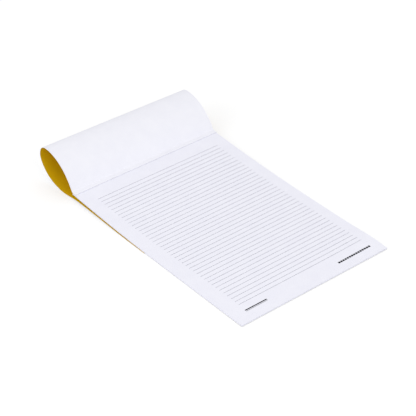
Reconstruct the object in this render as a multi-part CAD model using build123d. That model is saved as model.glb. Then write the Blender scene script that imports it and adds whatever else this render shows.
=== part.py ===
"""Head-bound A4 writing pad with its card cover folded right back.

Millimetres, +Z up. The pad lies on its back, foot towards -Y and bound head towards +Y.
The cover is glued up the head and over the first sheet as a narrow strip, folds back at the
strip's edge, curls over behind the head and comes back under the pad, which lifts the head
a little. The origin is on the table, under the middle of the whole outline.
"""
from build123d import *
from itertools import pairwise
from math import atan2, cos, degrees, radians, sin, sqrt
import os

# Sheets and backing board
page_width = 210.0
page_length = 297.0
sheet_count = 20
sheet_thickness = 0.09
board_thickness = 0.5

# Binding at the head, and the card of the cover
glue_thickness = 0.2
cover_thickness = 0.3
hinge_strip = 4.2
fold_gap = 0.1

# How the pad lies on its folded cover
head_lift = 6.7
cover_tuck = 123.0
rest_gap = 0.3

# The curl behind the head, to the outside of the card at its left and right ends
curl_height_left = 45.0
curl_height_right = 41.9
curl_reach_left = 63.3
curl_reach_right = 63.9
rise_angle = 61.0
rise_radius = 2.5
touchdown = 18.5

# The card under the pad: the crest of its neck, and where it settles on the table
neck_setback = 8.0
neck_share = 0.34
settle_length = 12.0

# The round of the curl, as shares of its reach and of its height
curl_shape = [
    (0.157, 0.536),
    (0.417, 0.854),
    (0.718, 0.995),
    (0.916, 0.949),
    (1.000, 0.691),
    (0.899, 0.363),
    (0.725, 0.153),
    (0.512, 0.041),
]

# The pad leaves the table along one arc that clears the free end of the cover
block_thickness = sheet_count * sheet_thickness
pad_thickness = board_thickness + block_thickness
lift_share = sqrt((cover_thickness + rest_gap) / head_lift)
lift_run = cover_tuck / (1 - lift_share)
bend_radius = (lift_run**2 + head_lift**2) / (2 * head_lift)
head_angle = 2 * degrees(atan2(head_lift, lift_run))
flat_length = page_length - bend_radius * radians(head_angle)

# Side view at the head: its lower corner, one way along the sheets, one square to them
head_corner = Vector(0, head_lift)
along_sheets = Vector(cos(radians(head_angle)), sin(radians(head_angle)))
across_sheets = Vector(-sin(radians(head_angle)), cos(radians(head_angle)))
to_foot = Vector(-1, 0)


def side_view(x):
    """The plane of a side view at x: its first way is towards the head, its second is up."""
    return Plane(origin=(x, 0, 0), x_dir=(0, 1, 0), z_dir=(1, 0, 0))


def bent_layer(lower, upper):
    """A layer of the pad between two heights, flat from the foot and bent up to the head."""
    foot = -lift_run - flat_length
    with BuildPart() as layer:
        with BuildSketch(side_view(-page_width / 2)):
            with BuildLine():
                under = Line((foot, lower), (-lift_run, lower))
                under_bend = JernArc(under @ 1, under % 1, bend_radius - lower, head_angle)
                top = Line((foot, upper), (-lift_run, upper))
                top_bend = JernArc(top @ 1, top % 1, bend_radius - upper, head_angle)
                Line(under @ 0, top @ 0)
                Line(under_bend @ 1, top_bend @ 1)
            make_face()
        extrude(amount=page_width)
    return layer.part


def glue_film():
    """The film of padding glue that holds sheets, board and cover at the head."""
    across = across_sheets * pad_thickness
    along = along_sheets * glue_thickness
    with BuildPart() as film:
        with BuildSketch(side_view(-page_width / 2)):
            with BuildLine():
                Polyline(head_corner, head_corner + along, head_corner + along + across,
                         head_corner + across, close=True)
            make_face()
        extrude(amount=page_width)
    return film.part


def hinge():
    """The inside of the card from the spine over the strip, its fold and back to the head."""
    foot_of_spine = head_corner + along_sheets * glue_thickness
    spine = Line(foot_of_spine, foot_of_spine + across_sheets * pad_thickness)
    shoulder = JernArc(spine @ 1, spine % 1, glue_thickness, 90)
    strip = Line(shoulder @ 1, shoulder @ 1 - along_sheets * hinge_strip)
    fold = JernArc(strip @ 1, strip % 1, cover_thickness + fold_gap / 2, -180)
    cover_back = Line(fold @ 1, fold @ 1 + along_sheets * hinge_strip)
    rise = JernArc(cover_back @ 1, cover_back % 1, rise_radius, rise_angle - head_angle)
    return [spine, shoulder, strip, fold, cover_back, rise]


def curl_stretches(start, way, height, reach):
    """One smooth curve over the curl and down to the table, cut where its knots are."""
    round_knots = [Vector(reach * out, height * up) for out, up in curl_shape]
    knots = [start, *round_knots, Vector(touchdown, 0)]
    whole = Spline(*knots, tangents=(way, to_foot))
    ways = [way, *(whole % whole.param_at_point(knot) for knot in round_knots), to_foot]
    return [Spline(*ends, tangents=turns) for ends, turns in zip(pairwise(knots), pairwise(ways))]


def card_side(height, reach, slack=0.0):
    """The inside of the card in side view, from the spine round the curl to its free end."""
    start = hinge()
    curl = curl_stretches(start[-1] @ 1, start[-1] % 1, height, reach)
    crest = Vector(-neck_setback, neck_share * head_lift)
    settle = Vector(settle_length - cover_tuck, 0)
    neck = Spline(curl[-1] @ 1, crest, tangents=(to_foot, to_foot))
    slope = Spline(crest, settle, tangents=(to_foot, to_foot))
    free_end = Line(settle, settle + to_foot * (settle_length + slack))
    return Wire([*start, *curl, neck, slope, free_end])


def folded_cover():
    """The card as one sheet between its left and right sides, equally long at both."""
    left = card_side(curl_height_left, curl_reach_left)
    right = card_side(curl_height_right, curl_reach_right)
    slack = left.length - right.length
    right = card_side(curl_height_right, curl_reach_right, slack)
    half_width = page_width / 2
    skin = Face.make_surface_from_curves(
        side_view(-half_width).location * left,
        side_view(half_width).location * right,
    )
    print(f"cover: {left.length:.1f} mm of card from the spine to the free end")
    return Solid.thicken(skin, cover_thickness)


pieces = {
    "backing_board": bent_layer(0, board_thickness),
    "page_block": bent_layer(board_thickness, pad_thickness),
    "head_glue": glue_film(),
    "cover": folded_cover(),
}

outline = Compound(list(pieces.values())).bounding_box()
to_origin = Location((0, -outline.center().Y, -outline.min.Z))

os.makedirs("parts", exist_ok=True)
for name, shape in pieces.items():
    export_step(to_origin * shape, f"parts/{name}.step")

print(f"pad: {pad_thickness:.2f} mm thick, flat for {flat_length:.1f} mm, "
      f"bent at {bend_radius:.0f} mm radius to {head_angle:.2f} degrees")
print(f"outline: {outline.size.X:.1f} x {outline.size.Y:.1f} x {outline.size.Z:.1f} mm")
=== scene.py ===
"""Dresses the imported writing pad: its ruled sheets, its board, its folded card cover and a studio.

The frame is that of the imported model: +Z up, the pad's foot towards -Y and its bound head towards
+Y. Sizes of the pad are in millimetres up to the point where a mesh is placed, which is in metres.
The cover leaves the head, curls over behind it and comes back under the pad.
"""
from __future__ import annotations

import logging
import math
import random
from dataclasses import dataclass
from enum import Enum
from itertools import pairwise

import bmesh
import bpy
import numpy as np
from bpy.types import Material, NodeSocket
from mathutils import Matrix, Vector
from mathutils.geometry import interpolate_bezier

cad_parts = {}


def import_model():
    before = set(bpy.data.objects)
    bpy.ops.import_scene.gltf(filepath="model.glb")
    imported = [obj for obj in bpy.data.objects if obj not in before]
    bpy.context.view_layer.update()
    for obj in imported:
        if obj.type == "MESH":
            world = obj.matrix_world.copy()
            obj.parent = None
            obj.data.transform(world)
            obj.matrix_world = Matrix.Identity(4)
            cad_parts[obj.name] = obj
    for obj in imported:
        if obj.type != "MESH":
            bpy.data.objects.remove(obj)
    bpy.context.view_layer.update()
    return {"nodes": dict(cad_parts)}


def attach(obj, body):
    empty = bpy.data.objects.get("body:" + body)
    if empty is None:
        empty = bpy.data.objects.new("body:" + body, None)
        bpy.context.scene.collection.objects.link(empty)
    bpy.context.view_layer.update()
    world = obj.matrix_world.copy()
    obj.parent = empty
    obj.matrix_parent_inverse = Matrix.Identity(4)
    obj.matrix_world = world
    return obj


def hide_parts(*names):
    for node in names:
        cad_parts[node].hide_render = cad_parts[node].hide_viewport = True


log = logging.getLogger("writing_pad")

MM = 0.001
BODY = "root"
PRINT_MAP = "sheet_mm"
WHITE = (1.0, 1.0, 1.0, 1.0)

# The pitch and dash of an unbroken bar, longer than any sheet
UNBROKEN = 1000.0


class Node(Enum):
    """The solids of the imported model."""

    SHEETS = "page_block"
    BOARD = "backing_board"
    GLUE = "head_glue"
    COVER = "cover"


class Slot(Enum):
    """Material slot names for the pieces that are built here; no piece is given them."""

    PAPER = "sheet_paper"
    BOARD = "backing_card"
    COVER = "cover_card"


class CardFace(Enum):
    """The faces of the cover's card, as numbers of its materials."""

    INSIDE = 0
    OUTSIDE = 1
    CUT = 2


# Materials


def linear(colour: str) -> tuple[float, float, float, float]:
    """Turns a colour written as sRGB hex into the linear values that shaders take.

    Args:
        colour: six hex digits after a #.

    Returns:
        Red, green, blue and an alpha of 1.
    """
    parts = [value / 255 for value in bytes.fromhex(colour.lstrip("#"))]
    red, green, blue = (v / 12.92 if v <= 0.04045 else ((v + 0.055) / 1.055) ** 2.4 for v in parts)
    return red, green, blue, 1.0


class Shader:
    """The node tree of a material or of the world, with one way to add a node."""

    def __init__(self, owner: Material | bpy.types.World) -> None:
        """Starts an empty tree.

        Args:
            owner: the material or world that the tree belongs to.
        """
        owner.use_nodes = True
        self.owner = owner
        self.tree = owner.node_tree
        self.tree.nodes.clear()

    def add(self, kind: str, settings: dict | None = None, **inputs: object) -> bpy.types.Node:
        """Adds a node, sets its properties, and fills or links its sockets.

        Args:
            kind: the node's class in bpy.types, without its leading ShaderNode.
            settings: properties of the node itself.
            inputs: socket values by name, with _ for a space, or by number as i0, i1. An output
                socket is linked, and anything else is a default value.

        Returns:
            The new node.
        """
        node = self.tree.nodes.new(f"ShaderNode{kind}")
        for key, value in (settings or {}).items():
            setattr(node, key, value)
        for key, value in inputs.items():
            numbered = key[0] == "i" and key[1:].isdigit()
            socket = node.inputs[int(key[1:]) if numbered else key.replace("_", " ")]
            if isinstance(value, NodeSocket):
                self.tree.links.new(value, socket)
            else:
                socket.default_value = value
        return node

    def finish(self, surface: bpy.types.Node) -> Material | bpy.types.World:
        """Links the last shader to the output.

        Args:
            surface: the node whose first output is the surface.

        Returns:
            The finished material or world.
        """
        output = "OutputWorld" if isinstance(self.owner, bpy.types.World) else "OutputMaterial"
        self.add(output, Surface=surface.outputs[0])
        return self.owner


@dataclass(frozen=True)
class PaperStock:
    """Uncoated paper or card: matte, a little cloudy, with short fibres pressed flat."""

    name: str
    colour: str
    shade: str
    roughness: float = 0.92
    ior: float = 1.45
    gloss: float = 0.25
    cloud_mm: float = 14.0
    fibre_mm: float = 0.55
    relief_mm: float = 0.012

    def colouring(self, shader: Shader) -> NodeSocket:
        """Paints the cloudy look-through of the stock.

        Args:
            shader: the material being built.

        Returns:
            The colour socket.
        """
        place = shader.add("TexCoord").outputs["Object"]
        scale = 1 / (self.cloud_mm * MM)
        cloud = shader.add("TexNoise", Vector=place, Scale=scale, Detail=3.0, Roughness=0.6)
        tint = shader.add(
            "MapRange", Value=cloud.outputs[0], From_Min=0.3, From_Max=0.7, To_Min=0.0, To_Max=1.0
        )
        shade, colour = linear(self.shade), linear(self.colour)
        mixed = shader.add("Mix", {"data_type": "RGBA"}, Factor=tint.outputs[0], i6=shade, i7=colour)
        return mixed.outputs[2]

    def relief(self, shader: Shader) -> NodeSocket:
        """Raises the fibres. Real ones are too fine to show, so they are drawn half a mm long.

        Args:
            shader: the material being built.

        Returns:
            The normal socket.
        """
        place = shader.add("TexCoord").outputs["Object"]
        scale = 1 / (self.fibre_mm * MM)
        fibres = shader.add("TexNoise", Vector=place, Scale=scale, Detail=4.0, Roughness=0.65)
        height = fibres.outputs[0]
        return shader.add("Bump", Strength=0.35, Distance=self.relief_mm * MM, Height=height).outputs[0]

    def material(self) -> Material:
        """Builds the stock.

        Returns:
            The finished material.
        """
        shader = Shader(bpy.data.materials.new(self.name))
        surface = shader.add(
            "BsdfPrincipled",
            Base_Color=self.colouring(shader),
            Roughness=self.roughness,
            Normal=self.relief(shader),
            IOR=self.ior,
            Specular_IOR_Level=self.gloss,
        )
        return shader.finish(surface)


@dataclass(frozen=True)
class PrintedBar:
    """A black bar printed on a sheet, in mm from the head's left corner before the print's drift."""

    left: float
    right: float
    top: float
    bottom: float
    pitch: float = UNBROKEN
    dash: float = UNBROKEN


@dataclass(frozen=True)
class RuledPaper(PaperStock):
    """Writing paper with pale grey rules, and at its foot a double rule and a dashed line.

    The print runs a little askew: it drifts to the right by a share of the way down the sheet.
    """

    bars: tuple[PrintedBar, ...] = (
        PrintedBar(15.2, 45.2, 279.6, 281.1),
        PrintedBar(15.2, 45.2, 281.9, 282.4),
        PrintedBar(146.1, 193.8, 281.8, 284.4, pitch=3.2, dash=2.6),
    )
    bar_ink: str = "#1C1C22"
    rule_ink: str = "#666679"
    rule_count: int = 40
    rule_pitch: float = 6.247
    rule_width: float = 0.36
    first_rule: float = 25.31
    left_margin: float = 16.7
    right_margin: float = 16.1
    drift: float = 0.0125
    width: float = 210.0

    def both(self, shader: Shader, first: NodeSocket, second: NodeSocket) -> NodeSocket:
        """Multiplies two masks.

        Args:
            shader: the material being built.
            first: one mask.
            second: the other mask.

        Returns:
            Their product.
        """
        return shader.add("Math", {"operation": "MULTIPLY"}, i0=first, i1=second).outputs[0]

    def band(self, shader: Shader, value: NodeSocket, low: float, high: float) -> NodeSocket:
        """Marks where a value lies between two limits.

        Args:
            shader: the material being built.
            value: the socket that is tested.
            low: the lower limit.
            high: the upper limit.

        Returns:
            A socket that is 1 inside the limits and 0 outside.
        """
        above = shader.add("Math", {"operation": "GREATER_THAN"}, i0=value, i1=low)
        below = shader.add("Math", {"operation": "LESS_THAN"}, i0=value, i1=high)
        return self.both(shader, above.outputs[0], below.outputs[0])

    def repeated(
        self, shader: Shader, value: NodeSocket, start: float, pitch: float, share: float
    ) -> NodeSocket:
        """Marks the first part of each pitch.

        Args:
            shader: the material being built.
            value: the socket that is cut into pitches.
            start: where the first of them begins.
            pitch: their length.
            share: how much of each is marked, as a length.

        Returns:
            A socket that is 1 on the marked parts.
        """
        past = shader.add("Math", {"operation": "SUBTRACT"}, i0=value, i1=start)
        within = shader.add("Math", {"operation": "WRAP"}, i0=past.outputs[0], i1=pitch, i2=0.0)
        marked = shader.add("Math", {"operation": "LESS_THAN"}, i0=within.outputs[0], i1=share)
        return marked.outputs[0]

    def rules(self, shader: Shader, across: NodeSocket, down: NodeSocket) -> NodeSocket:
        """Draws the grey rules.

        Args:
            shader: the material being built.
            across: the way from the sheet's left side, in mm.
            down: the way from its head, in mm.

        Returns:
            A mask that is 1 on the ink.
        """
        start = self.first_rule - self.rule_width / 2
        line = self.repeated(shader, down, start, self.rule_pitch, self.rule_width)
        last = start + self.rule_pitch * (self.rule_count - 0.5)
        rows = self.band(shader, down, start - self.rule_width / 2, last)
        columns = self.band(shader, across, self.left_margin, self.width - self.right_margin)
        return self.both(shader, line, self.both(shader, rows, columns))

    def colouring(self, shader: Shader) -> NodeSocket:
        """Prints rules and bars on the stock, from the sheet's own map, whose unit is a millimetre.

        Args:
            shader: the material being built.

        Returns:
            The colour socket.
        """
        place = shader.add("UVMap", {"uv_map": PRINT_MAP}).outputs[0]
        side, down = shader.add("SeparateXYZ", Vector=place).outputs[:2]
        askew = shader.add("Math", {"operation": "MULTIPLY_ADD"}, i0=down, i1=-self.drift, i2=side)
        across = askew.outputs[0]
        inks = [(self.rules(shader, across, down), self.rule_ink)]
        for bar in self.bars:
            columns = self.band(shader, across, bar.left, bar.right)
            rows = self.band(shader, down, bar.top, bar.bottom)
            dashes = self.repeated(shader, across, bar.left, bar.pitch, bar.dash)
            inks.append((self.both(shader, self.both(shader, columns, rows), dashes), self.bar_ink))
        colour = super().colouring(shader)
        for mask, ink in inks:
            mixed = shader.add("Mix", {"data_type": "RGBA"}, Factor=mask, i6=colour, i7=linear(ink))
            colour = mixed.outputs[2]
        return colour


@dataclass(frozen=True)
class CoatedPrint:
    """Card with a clay coating under a flood of offset ink: even, with a soft satin gloss."""

    name: str
    colour: str
    roughness: float = 0.6
    ior: float = 1.5
    gloss: float = 0.22
    grain_mm: float = 0.8
    relief_mm: float = 0.006

    def material(self) -> Material:
        """Builds the printed coat. Its grain is drawn coarser than a real coat's, so that it shows.

        Returns:
            The finished material.
        """
        shader = Shader(bpy.data.materials.new(self.name))
        place = shader.add("TexCoord").outputs["Object"]
        grain = shader.add("TexNoise", Vector=place, Scale=1 / (self.grain_mm * MM), Detail=2.0)
        height = grain.outputs[0]
        bump = shader.add("Bump", Strength=0.25, Distance=self.relief_mm * MM, Height=height)
        surface = shader.add(
            "BsdfPrincipled",
            Base_Color=linear(self.colour),
            Roughness=self.roughness,
            Normal=bump.outputs[0],
            IOR=self.ior,
            Specular_IOR_Level=self.gloss,
        )
        return shader.finish(surface)


@dataclass(frozen=True)
class GlueFilm:
    """Glue brushed over the head of a pad, which dries to a thin film."""

    name: str
    colour: str
    roughness: float = 0.55

    def material(self) -> Material:
        """Builds the film.

        Returns:
            The finished material.
        """
        shader = Shader(bpy.data.materials.new(self.name))
        surface = shader.add("BsdfPrincipled", Base_Color=linear(self.colour), Roughness=self.roughness)
        return shader.finish(surface)


# Brightened offset paper, not coated: a bluish white without any shine
SHEET_PAPER = RuledPaper("offset writing paper", "#F3F3FC", "#F0F0FA")
# Grey board lined with white paper: a duller and warmer white than the sheets
BACKING_CARD = PaperStock("white-lined grey board", "#EEEDEA", "#E9E8E5")
# The uncoated side of the cover's boxboard: as white and bluish as the sheets
COVER_INSIDE = PaperStock("uncoated back of folding boxboard", "#F4F4FB", "#F1F1F9")
# The coated side, flooded with ink: a strong warm yellow that shines a little at low angles
COVER_OUTSIDE = CoatedPrint("yellow ink on coated board", "#E4BB00")
# The guillotined side of the boxboard: its pulp shows as a warm white
COVER_CUT = PaperStock("cut side of folding boxboard", "#F0EFEA", "#EAE8E0")
# Water-based padding glue: a creamy white film, a little smoother than the paper
PADDING_GLUE = GlueFilm("dried padding glue", "#EDEBE4")


# Shapes


def finished(
    name: str, bm: bmesh.types.BMesh, materials: list[Material], smooth: bool = False
) -> bpy.types.Object:
    """Turns a bmesh into an object of the scene.

    Args:
        name: the piece's name.
        bm: its mesh, which is freed.
        materials: its materials, in the order of the faces' material numbers.
        smooth: whether its faces are shaded smooth.

    Returns:
        The new object, at the origin.
    """
    for face in bm.faces:
        face.smooth = smooth
    mesh = bpy.data.meshes.new(name)
    bm.to_mesh(mesh)
    bm.free()
    for material in materials:
        mesh.materials.append(material)
    piece = bpy.data.objects.new(name, mesh)
    bpy.context.scene.collection.objects.link(piece)
    return piece


def dressed(piece: bpy.types.Object, node: Node) -> None:
    """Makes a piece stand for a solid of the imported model.

    Args:
        piece: the piece.
        node: the solid it stands for.
    """
    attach(piece, BODY)
    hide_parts(node.value)
    log.info("%s: %d faces", piece.name, len(piece.data.polygons))


@dataclass(frozen=True)
class PadBend:
    """The side view of the pad: flat from its foot, then one shallow arc up to its head."""

    foot: float = -180.365
    flat: float = 121.303
    radius: float = 2302.58
    length: float = 297.0

    def place(self, x: float, along: float, height: float) -> Vector:
        """Bends a point of the flat pad.

        Args:
            x: across the pad.
            along: from the foot, along the underside.
            height: above the underside.

        Returns:
            The point in metres.
        """
        if along <= self.flat:
            return Vector((x, self.foot + along, height)) * MM
        turn = (along - self.flat) / self.radius
        reach = self.radius - height
        y = self.foot + self.flat + reach * math.sin(turn)
        return Vector((x, y, self.radius - reach * math.cos(turn))) * MM


@dataclass(frozen=True)
class PadLayers:
    """The sheets and the backing board, each a thin slab that follows the bend of the pad."""

    bend: PadBend
    width: float = 210.0
    sheet_count: int = 20
    sheet_thickness: float = 0.09
    board_thickness: float = 0.5
    gap: float = 0.004
    sheet_inset: float = 0.3
    side_error: float = 0.08
    foot_error: float = 0.2
    board_slant: float = 1.1
    loose_height: float = 1.3
    loose_from_foot: float = 22.0
    loose_across: float = 45.0
    loose_to_foot: float = 14.0
    loose_to_head: float = 28.0
    rows: int = 72
    columns: int = 18
    seed: int = 11

    def loosened(self, x: float, along: float) -> float:
        """Finds how high the top sheet stands off near the foot's right corner, where it was thumbed.

        Args:
            x: across the pad, from its middle.
            along: from the foot.

        Returns:
            The height in mm.
        """
        past = along - self.loose_from_foot
        reach = self.loose_to_head if past > 0 else self.loose_to_foot
        away = ((x - self.width / 2) / self.loose_across) ** 2 + (past / reach) ** 2
        return self.loose_height * math.exp(-away)

    def slab(
        self,
        bm: bmesh.types.BMesh,
        low: float,
        high: float,
        inset: tuple[float, float] = (0.0, 0.0),
        slant: float = 0.0,
        loose: float = 0.0,
    ) -> None:
        """Adds one bent slab to a mesh, with its own map in mm from the head's left corner.

        Args:
            bm: the mesh.
            low: the slab's lower height.
            high: its upper height.
            inset: how far its left side and its foot stand in.
            slant: how much further its left side stands in at the head than at the foot.
            loose: its share of the top sheet's looseness.
        """
        chart = bm.loops.layers.uv.get(PRINT_MAP) or bm.loops.layers.uv.new(PRINT_MAP)
        made = bmesh.ops.create_grid(bm, x_segments=self.columns, y_segments=self.rows, size=0.5)
        faces = list(dict.fromkeys(face for vert in made["verts"] for face in vert.link_faces))
        grown = bmesh.ops.extrude_face_region(bm, geom=faces, use_keep_orig=True)
        top = [item for item in grown["geom"] if isinstance(item, bmesh.types.BMVert)]
        bmesh.ops.translate(bm, verts=top, vec=(0.0, 0.0, 1.0))
        verts = made["verts"] + top
        shell = list(dict.fromkeys(face for vert in verts for face in vert.link_faces))
        bmesh.ops.recalc_face_normals(bm, faces=shell)
        flat = {}
        for vert in verts:
            across, way = vert.co.x + 0.5, vert.co.y + 0.5
            left = inset[0] + slant * way
            x = left + across * (self.width - left) - self.width / 2
            along = inset[1] + way * (self.bend.length - inset[1])
            flat[vert] = (x, along, low + vert.co.z * (high - low))
        for face in shell:
            for loop in face.loops:
                x, along, _ = flat[loop.vert]
                loop[chart].uv = (x + self.width / 2, self.bend.length - along)
        for vert, (x, along, height) in flat.items():
            vert.co = self.bend.place(x, along, height + loose * self.loosened(x, along))

    def sheets(self, paper: Material) -> None:
        """Stacks the sheets, each a hair off the next at its left side and its foot.

        Args:
            paper: the printed paper.
        """
        draw = random.Random(self.seed)
        bm = bmesh.new()
        top_sheet = self.sheet_count - 1
        for sheet in range(self.sheet_count):
            low = self.board_thickness + sheet * self.sheet_thickness
            high = low + self.sheet_thickness - self.gap
            side = self.sheet_inset + draw.uniform(-1, 1) * self.side_error
            inset = (side, draw.uniform(0, 1) * self.foot_error)
            if sheet == top_sheet:
                inset = (self.sheet_inset, 0.0)
            self.slab(bm, low, high, inset, loose=(sheet / top_sheet) ** 2)
        dressed(finished("ruled_sheets", bm, [paper]), Node.SHEETS)

    def board(self, card: Material) -> None:
        """Builds the backing board, whose left side goes in a little towards the head.

        Args:
            card: the board's stock.
        """
        bm = bmesh.new()
        self.slab(bm, 0.0, self.board_thickness - self.gap, slant=self.board_slant)
        dressed(finished("backing_board_card", bm, [card]), Node.BOARD)


@dataclass(frozen=True)
class FoldedCover:
    """The card cover: a strip glued over the head, folded back, curled and laid under the pad.

    The curl's left and right ends are each given by how far it reaches behind the head and by its
    height, and its shape by points as shares of these.
    """

    bend: PadBend
    width: float = 210.0
    thickness: float = 0.3
    pad_thickness: float = 2.3
    glue: float = 0.2
    hinge_strip: float = 4.2
    fold_gap: float = 0.1
    head_lift: float = 6.7
    left: tuple[float, float] = (63.3, 44.94)
    right: tuple[float, float] = (63.9, 41.87)
    curl_shape: tuple[tuple[float, float], ...] = (
        (0.157, 0.536),
        (0.417, 0.854),
        (0.718, 0.995),
        (0.916, 0.949),
        (1.000, 0.691),
        (0.899, 0.363),
        (0.725, 0.153),
        (0.512, 0.041),
    )
    rise_angle: float = 61.0
    rise_radius: float = 2.5
    touchdown: float = 18.5
    neck_setback: float = 8.0
    neck_share: float = 0.34
    tuck: float = 133.0
    settle: float = 22.0
    shoulder_steps: int = 5
    fold_steps: int = 14
    rise_steps: int = 12
    stretch_steps: int = 16
    slope_steps: int = 30
    columns: int = 12

    def headings(self, knots: list[Vector], first: Vector, last: Vector) -> list[Vector]:
        """Finds the directions of the smoothest curve through some knots.

        Args:
            knots: the points in side view.
            first: the unit direction at the first knot.
            last: the unit direction at the last knot.

        Returns:
            A unit direction at each knot.
        """
        steps = [(b - a).length for a, b in pairwise(knots)]
        size = len(knots)
        rows, ways = np.eye(size), np.zeros((size, 2))
        ways[0], ways[-1] = first, last
        for i in range(1, size - 1):
            before, after = steps[i - 1], steps[i]
            rows[i, i - 1:i + 2] = (after, 2 * (before + after), before)
            arriving, leaving = knots[i] - knots[i - 1], knots[i + 1] - knots[i]
            ways[i] = 3 * (arriving * (after / before) + leaving * (before / after))
        return [Vector(way).normalized() for way in np.linalg.solve(rows, ways)]

    def stretch(self, a: Vector, b: Vector, way_a: Vector, way_b: Vector, count: int) -> list[Vector]:
        """Samples one smooth stretch of card between two knots.

        Args:
            a: its first point.
            b: its last point.
            way_a: the direction at its first point.
            way_b: the direction at its last point.
            count: how many steps it is cut into.

        Returns:
            The points after the first.
        """
        reach = (b - a).length / 3
        handles = [Vector((*p, 0.0)) for p in (a, a + way_a * reach, b - way_b * reach, b)]
        return [p.to_2d() for p in interpolate_bezier(*handles, count + 1)[1:]]

    def turn(self, line: list[Vector], way: Vector, radius: float, angle: float, steps: int) -> Vector:
        """Lengthens a side view by an arc.

        Args:
            line: the points so far, which the arc's points are added to.
            way: the unit direction at the last of them.
            radius: the arc's radius.
            angle: how far it turns, in radians, to the left when positive.
            steps: how many steps it is cut into.

        Returns:
            The unit direction at its end.
        """
        spoke = Vector((way.y, -way.x)) * math.copysign(radius, angle)
        centre = line[-1] - spoke
        for step in range(1, steps + 1):
            line.append(centre + Matrix.Rotation(angle * step / steps, 2) @ spoke)
        return Matrix.Rotation(angle, 2) @ way

    def side(self, reach: float, height: float, slack: float = 0.0) -> list[Vector]:
        """Follows the inside of the card in side view, from its spine to its free end.

        Args:
            reach: how far the curl reaches behind the head.
            height: the height of the curl.
            slack: how much further the free end goes under the pad.

        Returns:
            Points in mm, measured from the lower corner of the head along the table and from the
            table up.
        """
        lean = (self.bend.length - self.bend.flat) / self.bend.radius
        along = Vector((math.cos(lean), math.sin(lean)))
        across = Vector((-math.sin(lean), math.cos(lean)))
        to_foot = Vector((-1.0, 0.0))
        line = [Vector((0.0, self.head_lift)) + along * self.glue]
        line.append(line[-1] + across * self.pad_thickness)
        self.turn(line, across, self.glue, math.pi / 2, self.shoulder_steps)
        line.append(line[-1] - along * self.hinge_strip)
        fold_radius = self.thickness + self.fold_gap / 2
        self.turn(line, -along, fold_radius, -math.pi, self.fold_steps)
        line.append(line[-1] + along * self.hinge_strip)
        rise = math.radians(self.rise_angle)
        way = self.turn(line, along, self.rise_radius, rise - lean, self.rise_steps)
        knots = [line[-1]] + [Vector((reach * out, height * up)) for out, up in self.curl_shape]
        knots.append(Vector((self.touchdown, 0.0)))
        ways = self.headings(knots, way, to_foot)
        for (a, b), (way_a, way_b) in zip(pairwise(knots), pairwise(ways)):
            line += self.stretch(a, b, way_a, way_b, self.stretch_steps)
        crest = Vector((-self.neck_setback, self.neck_share * self.head_lift))
        settled = Vector((self.settle - self.tuck, 0.0))
        line += self.stretch(knots[-1], crest, to_foot, to_foot, self.stretch_steps)
        line += self.stretch(crest, settled, to_foot, to_foot, self.slope_steps)
        line.append(settled + to_foot * (self.settle + slack))
        return line

    def span(self, line: list[Vector]) -> float:
        """Adds up the length of a side view."""
        return sum((b - a).length for a, b in pairwise(line))

    def outer(self, line: list[Vector]) -> list[Vector]:
        """Sets a side view off by the card's thickness, to the right of its way.

        Args:
            line: the points of one side view.

        Returns:
            As many points.
        """
        ways = [(b - a).normalized() for a, b in pairwise(line)]
        normals = [Vector((way.y, -way.x)) for way in ways]
        pairs = zip([normals[0], *normals], [*normals, normals[-1]])
        return [p + (m + n) * (self.thickness / (1 + m.dot(n))) for p, (m, n) in zip(line, pairs)]

    def face_of(self, face: bmesh.types.BMFace, far: set[bmesh.types.BMVert]) -> CardFace:
        """Tells which face of the card a face of its mesh belongs to.

        Args:
            face: the face of the mesh.
            far: the corners that lie on the outside of the card.

        Returns:
            The card's inside, its outside or its cut side.
        """
        far_corners = sum(vert in far for vert in face.verts)
        if far_corners == 0:
            return CardFace.INSIDE
        return CardFace.OUTSIDE if far_corners == len(face.verts) else CardFace.CUT

    def build(self, finishes: dict[CardFace, Material]) -> None:
        """Builds the cover from a flat strip of card that is laid along its two sides.

        Args:
            finishes: the material of each face of the card.
        """
        left = self.side(*self.left)
        slack = self.span(left) - self.span(self.side(*self.right))
        sides = (left, self.side(*self.right, slack))
        outer_sides = tuple(self.outer(side) for side in sides)
        head = self.bend.place(0.0, self.bend.length, 0.0).y / MM
        rows = len(left) - 1
        bm = bmesh.new()
        bmesh.ops.create_grid(bm, x_segments=self.columns, y_segments=rows, size=0.5)
        grown = bmesh.ops.extrude_face_region(bm, geom=list(bm.faces), use_keep_orig=True)
        far = {item for item in grown["geom"] if isinstance(item, bmesh.types.BMVert)}
        for face in bm.faces:
            face.material_index = self.face_of(face, far).value
        for vert in bm.verts:
            across, row = vert.co.x + 0.5, round((vert.co.y + 0.5) * rows)
            left_side, right_side = outer_sides if vert in far else sides
            y, z = left_side[row].lerp(right_side[row], across)
            vert.co = Vector(((across - 0.5) * self.width, head + y, z)) * MM
        bmesh.ops.recalc_face_normals(bm, faces=bm.faces)
        for edge in bm.edges:
            edge.smooth = len({face.material_index for face in edge.link_faces}) == 1
        materials = [finishes[card_face] for card_face in CardFace]
        piece = finished("folded_cover_card", bm, materials, smooth=True)
        dressed(piece, Node.COVER)


# Studio


@dataclass(frozen=True)
class Softbox:
    """A soft square lamp that faces the pad, with its place and side in metres and power in watts."""

    name: str
    place: tuple[float, float, float]
    size: float
    power: float

    def hang(self) -> None:
        """Hangs the lamp."""
        light = bpy.data.lights.new(self.name, "AREA")
        light.size = self.size
        light.energy = self.power
        holder = bpy.data.objects.new(self.name, light)
        holder.location = self.place
        holder.rotation_euler = (-Vector(self.place)).to_track_quat("-Z", "Y").to_euler()
        bpy.context.scene.collection.objects.link(holder)


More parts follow.
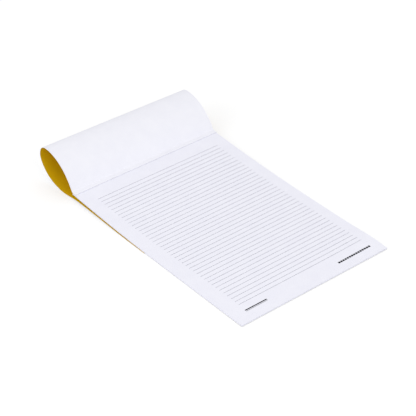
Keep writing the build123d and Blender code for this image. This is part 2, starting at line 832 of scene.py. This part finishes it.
@dataclass(frozen=True)
class Studio:
    """A white table under soft light, and a camera at the photograph's place.

    Angles are in degrees. The camera's distance, target and sensor and the floor's drop are in
    millimetres. The far limit, the floor's size and the reach of its glow are in metres.
    """

    azimuth: float = -39.63
    elevation: float = 35.21
    roll: float = 0.02
    distance: float = 1798.0
    focal_px: float = 1580.0
    image_px: float = 416.0
    target: tuple[float, float, float] = (3.9, 5.635, 0.0)
    sensor: float = 36.0
    far_limit: float = 50.0
    floor_size: float = 6.0
    floor_drop: float = 0.15
    floor_bounce: str = "#DFDFDF"
    floor_shadow: str = "#BCBCBC"
    glow_near: float = 0.56
    glow_far: float = 0.75
    glow_from: float = 0.5
    glow_to: float = 1.6
    room_light: float = 0.8
    lamps: tuple[Softbox, ...] = (
        Softbox("front softbox", (0.0, -1.7, 1.0), 1.4, 7.2),
        Softbox("left softbox", (-1.8, 0.1, 0.8), 1.2, 9.0),
    )

    def camera(self) -> None:
        """Places the camera that was fitted to the photograph."""
        turn, lift, roll = (math.radians(v) for v in (self.azimuth, self.elevation, self.roll))
        back = Vector(
            (math.sin(turn) * math.cos(lift), -math.cos(turn) * math.cos(lift), math.sin(lift))
        )
        level = Vector((math.cos(turn), math.sin(turn), 0.0))
        upright = back.cross(level)
        right = level * math.cos(roll) + upright * math.sin(roll)
        up = upright * math.cos(roll) - level * math.sin(roll)
        lens = bpy.data.cameras.new("photo_camera")
        lens.sensor_width = self.sensor
        lens.lens = self.focal_px / self.image_px * self.sensor
        lens.clip_end = self.far_limit
        eye = bpy.data.objects.new("photo_camera", lens)
        pose = Matrix((right, up, back)).transposed().to_4x4()
        pose.translation = (Vector(self.target) + back * self.distance) * MM
        eye.matrix_world = pose
        bpy.context.scene.collection.objects.link(eye)
        bpy.context.scene.camera = eye

    def floor(self) -> None:
        """Lays the white table. To the camera it glows up to white and keeps a faint shadow."""
        shader = Shader(bpy.data.materials.new("white studio table"))
        path = shader.add("LightPath").outputs["Is Camera Ray"]
        bounce = shader.add("BsdfDiffuse", Color=linear(self.floor_bounce))
        shadow = shader.add("BsdfDiffuse", Color=linear(self.floor_shadow))
        place = shader.add("TexCoord").outputs["Object"]
        away = shader.add("VectorMath", {"operation": "LENGTH"}, i0=place)
        level = shader.add(
            "MapRange",
            Value=away.outputs["Value"],
            From_Min=self.glow_from,
            From_Max=self.glow_to,
            To_Min=self.glow_near,
            To_Max=self.glow_far,
        )
        glow = shader.add("Emission", Color=WHITE, Strength=level.outputs[0])
        seen = shader.add("AddShader", i0=shadow.outputs[0], i1=glow.outputs[0])
        either = shader.add("MixShader", i0=path, i1=bounce.outputs[0], i2=seen.outputs[0])
        bm = bmesh.new()
        bmesh.ops.create_grid(bm, x_segments=1, y_segments=1, size=self.floor_size / 2)
        bmesh.ops.translate(bm, verts=bm.verts, vec=(0.0, 0.0, -self.floor_drop * MM))
        finished("studio_table", bm, [shader.finish(either)])

    def room(self) -> None:
        """Fills the room with even light, and shows white where the table ends."""
        shader = Shader(bpy.data.worlds.new("soft room"))
        path = shader.add("LightPath").outputs["Is Camera Ray"]
        light = shader.add("Background", Color=WHITE, Strength=self.room_light)
        seen = shader.add("Background", Color=WHITE, Strength=1.0)
        either = shader.add("MixShader", i0=path, i1=light.outputs[0], i2=seen.outputs[0])
        bpy.context.scene.world = shader.finish(either)

    def build(self) -> None:
        """Sets up camera, table, room and lamps."""
        self.camera()
        self.floor()
        self.room()
        for lamp in self.lamps:
            lamp.hang()
        bpy.context.scene.view_settings.view_transform = "Standard"


def main() -> None:
    """Builds every piece in order, and notes the sizes."""
    logging.basicConfig(level=logging.INFO, format="%(name)s %(message)s")
    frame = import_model()
    Studio().build()
    bend = PadBend()
    layers = PadLayers(bend)
    layers.sheets(SHEET_PAPER.material())
    layers.board(BACKING_CARD.material())
    FoldedCover(bend).build(
        {
            CardFace.INSIDE: COVER_INSIDE.material(),
            CardFace.OUTSIDE: COVER_OUTSIDE.material(),
            CardFace.CUT: COVER_CUT.material(),
        }
    )
    glue = frame["nodes"][Node.GLUE.value]
    glue.data.materials.clear()
    glue.data.materials.append(PADDING_GLUE.material())
    log.info("%s: dressed in %s", glue.name, PADDING_GLUE.name)


if __name__ == "__main__":
    main()
